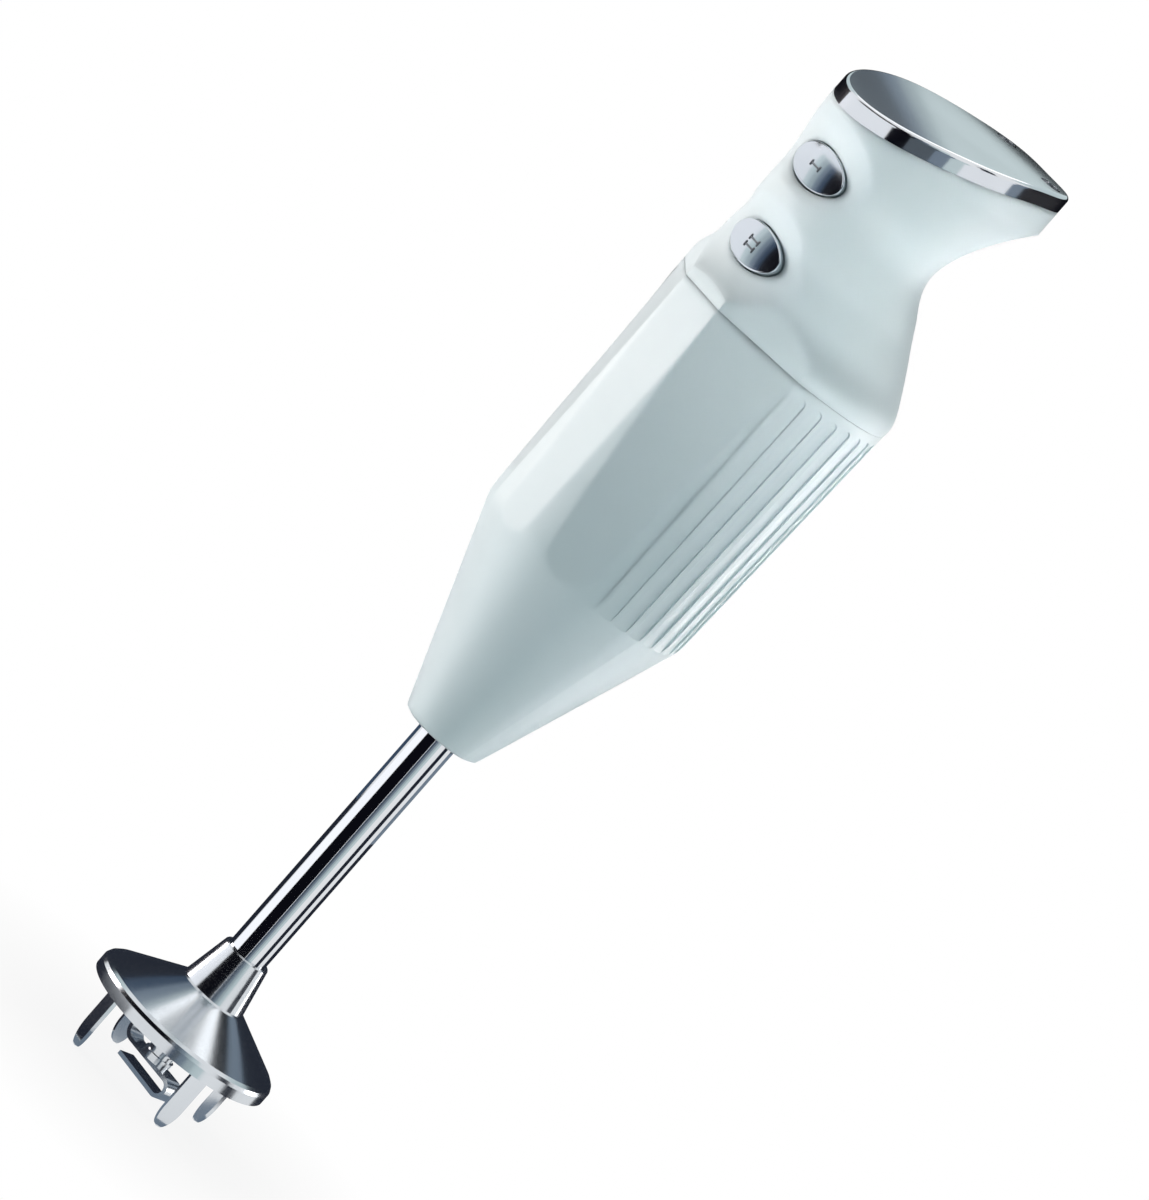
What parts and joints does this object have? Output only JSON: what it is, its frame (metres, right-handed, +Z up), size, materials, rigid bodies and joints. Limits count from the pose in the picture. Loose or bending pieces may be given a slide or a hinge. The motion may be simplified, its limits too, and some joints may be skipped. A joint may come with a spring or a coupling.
{
  "type": "immersion blender",
  "caption": "Handheld immersion blender with a waisted handle, fluted motor housing, slim steel shaft, pronged bell guard and folded strip blade.",
  "frame": {"origin": "on the shaft axis, in the plane of the prong tips that the blender stands on", "axes": "+Z up the shaft axis to the cap, -Y the side with the buttons, +Y the nose"},
  "size_m": [0.072, 0.0757, 0.3423],
  "materials": {
    "gloss_white": "glossy moulded",
    "satin_white": "satin moulded",
    "black_rubber": "moulded",
    "bright_chrome": "polished",
    "button_chrome": "satin plated",
    "bright_steel": "polished stamping",
    "plain_steel": "ground",
    "bronze": "turned",
    "lamination_steel": "stacked sheet",
    "copper_winding": "enamelled wire",
    "black_plastic": "moulded",
    "grey_plastic": "moulded",
    "board_green": "laminate"
  },
  "bodies": {
    "housing": {"motor_housing": "gloss_white", "handle_shell": "satin_white", "seam_seal": "black_rubber", "top_cap": "bright_chrome", "cap_screws": "plain_steel", "cord_gland": "black_rubber", "shaft_tube": "bright_chrome", "blade_guard": "bright_steel", "speed_switch_one": "black_plastic", "speed_switch_two": "black_plastic", "switch_carrier": "grey_plastic", "circuit_board": "board_green", "suppression_capacitor": "black_plastic", "button_spring_one": "plain_steel", "button_spring_two": "plain_steel", "tube_nut": "plain_steel", "bush_lower": "bronze", "bush_upper": "bronze", "shaft_seal": "black_rubber", "bearing_lower": "plain_steel", "bearing_upper": "plain_steel", "field_coil_lower": "copper_winding", "field_coil_upper": "copper_winding", "motor_bracket_lower": "grey_plastic", "motor_bracket_upper": "grey_plastic", "stator_stack": "lamination_steel", "brush_left": "black_plastic", "brush_right": "black_plastic", "brush_holder_left": "bronze", "brush_holder_right": "bronze"},
    "rotor": {"motor_shaft": "plain_steel", "armature_core": "lamination_steel", "armature_winding_lower": "copper_winding", "armature_winding_upper": "copper_winding", "commutator": "copper_winding", "cooling_fan": "black_plastic", "drive_coupling": "black_plastic", "drive_shaft": "plain_steel"},
    "blade": {"blade_hub": "bright_steel", "cutting_blade": "bright_steel"},
    "button_one": {"speed_button_one": "button_chrome", "switch_plunger_one": "black_plastic"},
    "button_two": {"speed_button_two": "button_chrome", "switch_plunger_two": "black_plastic"}
  },
  "joints": [
    {"name": "rotor_spin", "type": "hinge", "parent": "housing", "child": "rotor", "pos_m": [0, 0, 0.15], "axis": [0, 0, 1], "continuous": true},
    {"name": "blade_release", "type": "slide", "parent": "rotor", "child": "blade", "axis": [0, 0, -1], "range_m": [0, 0.03]},
    {"name": "button_one_press", "type": "slide", "parent": "housing", "child": "button_one", "axis": [0, 1, 0], "range_m": [0, 0.0015], "stiffness_N_per_m": 900, "springref_m": -0.0015, "deforming": ["button_spring_one"]},
    {"name": "button_two_press", "type": "slide", "parent": "housing", "child": "button_two", "axis": [0, 1, 0], "range_m": [0, 0.0015], "stiffness_N_per_m": 900, "springref_m": -0.0015, "deforming": ["button_spring_two"]}
  ]
}
